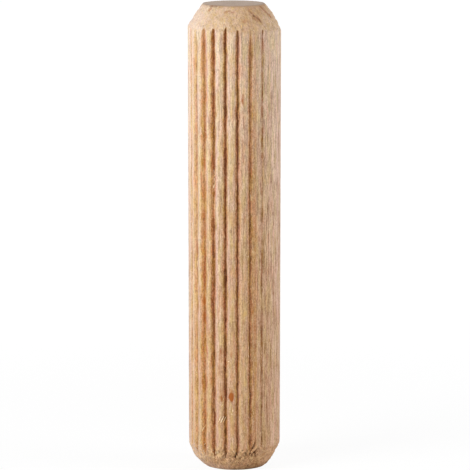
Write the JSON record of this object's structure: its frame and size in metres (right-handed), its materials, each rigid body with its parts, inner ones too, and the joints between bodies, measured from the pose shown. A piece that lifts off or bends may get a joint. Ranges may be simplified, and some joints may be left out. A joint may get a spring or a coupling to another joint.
{
  "type": "dowel pin",
  "caption": "Round wooden dowel pin with bevelled ends and straight glue flutes pressed along opposite sides, standing upright on one end.",
  "frame": {"origin": "middle of the end that the pin stands on, on the surface under it", "axes": "+Z along the pin towards its upper end, -Y towards its front, +X to the right"},
  "size_m": [0.008, 0.008, 0.04],
  "materials": {
    "beech": "raw turned and pressed beech, unvarnished, with torn grain on the bevels"
  },
  "bodies": {
    "root": {"dowel_pin": "beech"}
  },
  "joints": []
}
